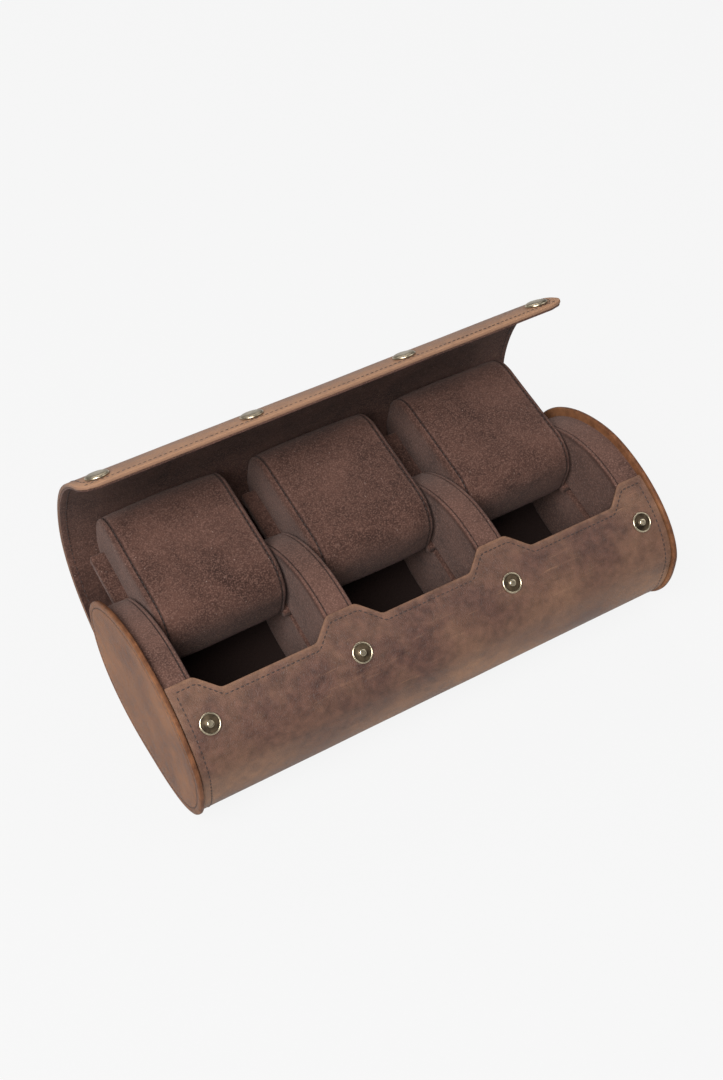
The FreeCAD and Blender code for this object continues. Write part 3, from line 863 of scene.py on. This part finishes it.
def slab_point(around, inset):
    """A point of the pillow's side outline: around runs from 0 to 1, inset brings it in."""
    a, b = PILLOW_LONG / 2 - inset, PILLOW_THICK / 2 - inset
    radius = PILLOW_ROUND - inset * 0.5
    straight_a, straight_b, arc = 2 * (a - radius), 2 * (b - radius), math.pi / 2 * radius
    parts = [straight_b, arc, straight_a, arc, straight_b, arc, straight_a, arc]
    left = (around % 1.0) * sum(parts)
    in_a, in_b = a - radius, b - radius
    corner = [(in_a, -in_b), (in_a, in_b), (-in_a, in_b), (-in_a, -in_b)]
    for index, part in enumerate(parts):
        if left <= part:
            break
        left -= part
    quarter, heading = index // 2, (index // 2) * math.pi / 2
    if index % 2 == 0:
        y0, z0 = corner[quarter]
        point = Vector((y0, z0)) + radius * Vector((math.cos(heading), math.sin(heading)))
        point += left * Vector((-math.sin(heading), math.cos(heading)))
        way = heading
    else:
        y0, z0 = corner[(quarter + 1) % 4]
        way = heading + left / radius
        point = Vector((y0, z0)) + radius * Vector((math.cos(way), math.sin(way)))
    return point, Vector((math.cos(way), math.sin(way)))


def pillow_place(x, flat):
    """From the pillow's own side view to the roll."""
    turned = Matrix.Rotation(PILLOW_TILT, 2) @ flat
    return Vector((x, PILLOW_AT.x + turned.x, PILLOW_AT.y + turned.y))


def pillow_seam_line(centre, offset, inset, count=260):
    line = []
    for step in range(count + 1):
        flat, way = slab_point(step / count, inset)
        normal = Matrix.Rotation(PILLOW_TILT, 2) @ way
        line.append((pillow_place(centre + offset, flat), Vector((0, normal.x, normal.y))))
    return line


# across the pillow: (x from the middle, how far in, rubbing). The seams are the pinched steps, and the
# negative rubbing at them is painted shade in the seam creases.
PILLOW_PROFILE = [
    (-29.2, 9.0, 0), (-29.2, 6.0, 0), (-29.1, 3.6, 0), (-28.7, 2.2, 0), (-28.1, 1.5, 0), (-27.4, 1.2, 0.2),
    (-27.0, 1.3, -0.3), (-26.6, 2.1, -1.0), (-26.2, 1.3, -0.3), (-25.6, 1.15, 0.2), (-24.0, 1.0, 0),
    (-21.0, 0.9, 0), (-17.0, 0.82, 0), (-12.5, 0.76, 0), (-8.0, 0.72, 0), (-4.0, 0.7, 0),
]
PILLOW_PROFILE += [(-x, inset, wear_and_shade_value) for x, inset, wear_and_shade_value in PILLOW_PROFILE[::-1]]
PILLOW_RING = 220
PILLOW_SEAM = 26.6 * MM
PUFF_CAP, PUFF_HELD, PUFF_FRAMES = 1.2 * MM, 25.8 * MM, 20


def puff(obj, centre):
    """Swell the cover by cloth pressure. The gussets and seams are held, and no point moves past the cap."""
    held = [v.index for v in obj.data.vertices if abs(v.co.x - centre) > PUFF_HELD]
    obj.vertex_groups.new(name="held").add(held, 1.0, "REPLACE")
    cloth = obj.modifiers.new("pressure", "CLOTH")
    cloth.settings.vertex_group_mass = "held"
    cloth.settings.use_pressure = True
    cloth.settings.uniform_pressure_force = 4.0
    cloth.settings.effector_weights.gravity = 0.0
    cloth.point_cache.frame_start, cloth.point_cache.frame_end = 1, PUFF_FRAMES
    for step in range(1, PUFF_FRAMES + 1):
        scene.frame_set(step)
    swelled = obj.evaluated_get(bpy.context.evaluated_depsgraph_get()).data
    moves = [b.co - a.co for a, b in zip(obj.data.vertices, swelled.vertices)]
    for vert, move in zip(obj.data.vertices, moves):
        vert.co += move * min(1.0, PUFF_CAP / max(move.length, 1e-9))
    obj.modifiers.remove(cloth)
    obj.vertex_groups.clear()
    scene.frame_set(1)


def pillow(name, place):
    centre = place * PLACE_PITCH
    bm = bmesh.new()
    rub = wear_and_shade_layer(bm)
    around = bm.verts.layers.float.new("around")
    made = bmesh.ops.create_circle(bm, segments=PILLOW_RING, radius=1.0)

    def lay(verts, x, inset, wear_and_shade_value):
        for vert in verts:
            flat, _ = slab_point(vert[around], inset * MM)
            lump = noise.noise(Vector((x * 0.06 + place * 9, flat.x * 40, flat.y * 40))) * 0.35 * MM
            flat *= 1 + lump / max(flat.length, 5 * MM)
            vert.co = pillow_place(centre + x * MM, flat)
            vert[rub] = wear_and_shade_value

    for vert in made["verts"]:
        vert[around] = (math.atan2(vert.co.y, vert.co.x) / (2 * math.pi)) % 1.0
    lay(made["verts"], *PILLOW_PROFILE[0])
    ring = list({edge for vert in made["verts"] for edge in vert.link_edges})
    bmesh.ops.contextual_create(bm, geom=ring)
    for x, inset, wear_and_shade_value in PILLOW_PROFILE[1:]:
        geom = bmesh.ops.extrude_edge_only(bm, edges=ring)["geom"]
        lay([e for e in geom if isinstance(e, bmesh.types.BMVert)], x, inset, wear_and_shade_value)
        ring = [e for e in geom if isinstance(e, bmesh.types.BMEdge) and len(e.link_faces) == 1]
    bmesh.ops.contextual_create(bm, geom=ring)
    caps = [f for f in bm.faces if len(f.verts) > 8]
    for _ in range(3):
        bmesh.ops.inset_region(bm, faces=caps, thickness=2.6 * MM, use_even_offset=False)
    obj = finish_piece(f"{name}_pillow_cover", bm, [SUEDE, THREAD], f"{name}_pillow",
                       [f"{name}_pillow_cushion", f"{name}_pillow_gussets"])
    puff(obj, centre)
    bm = bmesh.new()
    bm.from_mesh(obj.data)
    for offset in (-PILLOW_SEAM, PILLOW_SEAM):
        seam = pillow_seam_line(centre, offset, 1.6 * MM)
        sew(bm, seam, 2.6 * MM, 2.0 * MM, 0.5 * MM, 0.24 * MM, 1)
    for face in bm.faces:
        face.smooth = True
    bm.to_mesh(obj.data)
    bm.free()


PLACES = ((-1, "left"), (0, "middle"), (1, "right"))
for place, name in PLACES:
    pillow(name, place)

# ------------------------------------------------------------------ wing boards
# The board under each pillow sticks out at both sides and rides in the walls' slots.
# It is wrapped in suede, so its edges are soft. Inside the pillow it ends short of the front.
BOARD_LONG, BOARD_HALF, WING_IN = 62.0 * MM, 35.85 * MM, 27.5 * MM
BOARD_PARTS = ((-BOARD_HALF, -WING_IN, 0), (-WING_IN, WING_IN, 5 * MM), (WING_IN, BOARD_HALF, 0))
for place, name in PLACES:
    bm = bmesh.new()
    wear_and_shade_layer(bm)
    for first, last, short in BOARD_PARTS:
        long, middle = BOARD_LONG - short, place * PLACE_PITCH + (first + last) / 2
        made = bmesh.ops.create_cube(bm, size=1.0)
        bmesh.ops.scale(bm, vec=(last - first, long, BOARD_THICK), verts=made["verts"])
        bmesh.ops.translate(bm, vec=(middle, -long / 2, -BOARD_THICK / 2), verts=made["verts"])
    bmesh.ops.bevel(bm, geom=list(bm.edges), offset=1.1 * MM, segments=4, profile=0.5, affect="EDGES",
                    material=-1)
    bmesh.ops.rotate(bm, cent=(0, 0, 0), matrix=Matrix.Rotation(SLOPE, 3, "X"), verts=bm.verts)
    bmesh.ops.translate(bm, vec=(0, BOARD_BACK.x, BOARD_BACK.y), verts=bm.verts)
    finish_piece(f"{name}_wing_cover", bm, [SUEDE], f"{name}_pillow", [f"{name}_wing_board"])

# ------------------------------------------------------------------ snap fasteners
# Four antiqued brass snaps: ring studs on the front of the tray, domed caps on the lid.
# Behind each cap a socket shows through the lid's lining.
BRASS, shader, graph = material("antique_brass")
at = graph.add("ShaderNodeTexCoord").outputs["Object"]
tarnish = graph.ramp(graph.noise(at, 300.0, 4.0, 0.6), 0.38, 0.62)
bright = graph.math("MULTIPLY", attribute_value(graph, "rub"), graph.ramp(tarnish, 0.0, 1.0, 0.75, 1.0))
aged = graph.mix(tarnish, (0.035, 0.026, 0.018, 1), (0.11, 0.08, 0.05, 1))
graph.feed(shader, "Base_Color", graph.mix(bright, aged, (0.62, 0.53, 0.38, 1)))
graph.feed(shader, "Roughness", graph.ramp(bright, 0.0, 1.0, 0.5, 0.24))
shader.inputs["Metallic"].default_value = 1.0
STUD_AT = 20.0 * MM
SNAP_STEPS = 40


def turned(name, profile, point, outward, body, nodes):
    """Spin a profile of (radius, height, rubbing) at each snap and sink it on its seat."""
    bm = bmesh.new()
    rub = wear_and_shade_layer(bm)
    for x in SNAP_ACROSS:
        verts = []
        for radius, height, wear_and_shade_value in profile:
            vert = bmesh.ops.create_vert(bm, co=(radius * MM, 0, height * MM))["vert"][0]
            vert[rub] = wear_and_shade_value
            verts.append(vert)
        edges = [bmesh.ops.contextual_create(bm, geom=[a, b])["edges"][0] for a, b in zip(verts, verts[1:])]
        before = set(bm.verts) - set(verts)
        bmesh.ops.spin(bm, geom=verts + edges, cent=(0, 0, 0), axis=(0, 0, 1), angle=2 * math.pi,
                       steps=SNAP_STEPS, use_merge=True)
        bmesh.ops.remove_doubles(bm, verts=[v for v in bm.verts if v not in before], dist=1e-6)
        fresh = [v for v in bm.verts if v not in before]
        facing = outward.to_track_quat("Z", "X").to_matrix().to_4x4()
        seat = Matrix.Translation(Vector((x, point.y, point.z))) @ facing
        bmesh.ops.transform(bm, matrix=seat, verts=fresh)
    return finish_piece(name, bm, [BRASS], body, nodes, 50.0)


seat, outward = on_skin(STUD_AT, 0.0, 0.0)
turned("ring_studs", [
    (0.0, -1.2, 0), (1.1, -1.2, 0), (1.1, 0.02, 0), (4.3, 0.02, 0), (4.55, 0.12, 0.4), (4.6, 0.35, 0.8),
    (4.5, 0.7, 1), (4.25, 0.88, 1), (4.0, 0.85, 0.9), (3.8, 0.6, 0.3), (3.7, 0.36, 0), (1.7, 0.34, 0),
    (1.5, 0.42, 0.1), (1.32, 0.7, 0.3), (1.5, 0.95, 0.5), (1.55, 1.12, 0.8), (1.4, 1.38, 1), (1.1, 1.48, 1),
    (0.6, 1.42, 0.7), (0.0, 1.4, 0.6),
], seat, outward, "tray", ["snap_studs"])
seat, outward = on_skin(CAP_AT, 0.0, 0.0)
turned("domed_caps", [
    (0.0, -1.6, 0), (1.4, -1.6, 0), (1.4, 0.0, 0), (4.85, 0.0, 0), (5.12, 0.15, 0.4), (5.2, 0.42, 0.7),
    (5.1, 0.75, 0.8), (4.8, 1.1, 0.5), (4.2, 1.36, 0.35), (3.4, 1.5, 0.4), (2.4, 1.57, 0.5),
    (1.2, 1.6, 0.55), (0.0, 1.6, 0.6),
], seat, outward, "lid_4", ["snap_caps"])
turned("ring_sockets", [
    (0.0, -2.0, 0), (2.3, -2.0, 0.1), (2.6, -2.1, 0.3), (2.7, -2.45, 0.8), (3.1, -2.56, 1),
    (4.1, -2.56, 1), (4.5, -2.46, 0.8), (4.6, -2.2, 0.3), (4.6, -1.75, 0), (0.0, -1.75, 0),
], seat, outward, "lid_4", ["snap_sockets"])

# ------------------------------------------------------------------ what stays hidden inside
# The stiff cores, boards and rivet backs keep their own shapes and take plain finishes.
# The parts that a shown piece stands for take a finish chosen from their names, like every other part.
def plain_material(name, dark, pale, scale, stretch=(1, 1, 1), rough=0.8):
    made, shader, graph = material(name)
    at = graph.add("ShaderNodeTexCoord").outputs["Object"]
    mapped = graph.add("ShaderNodeMapping", Vector=at)
    mapped.inputs["Scale"].default_value = stretch
    graph.feed(shader, "Base_Color", graph.mix(graph.noise(mapped.outputs[0], scale, 4.0, 0.6), dark, pale))
    shader.inputs["Roughness"].default_value = rough
    return made


BOARD = plain_material("grey_board", (0.16, 0.13, 0.10, 1), (0.27, 0.22, 0.17, 1), 600.0)
WOOD = plain_material("fibre_board", (0.20, 0.13, 0.08, 1), (0.34, 0.24, 0.15, 1), 240.0, (0.15, 1, 1))


def finish_of(node):
    if node.startswith("snap_"):
        return BRASS
    if node.endswith("_core"):
        return WOOD
    if "board" in node or "stiffener" in node:
        return BOARD
    return TRAY_HIDE if "leather" in node or "cover" in node else SUEDE


for node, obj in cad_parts.items():
    finish = finish_of(node)
    if not obj.data.materials:
        obj.data.materials.append(finish)
    for slot in range(len(obj.data.materials)):
        obj.data.materials[slot] = finish
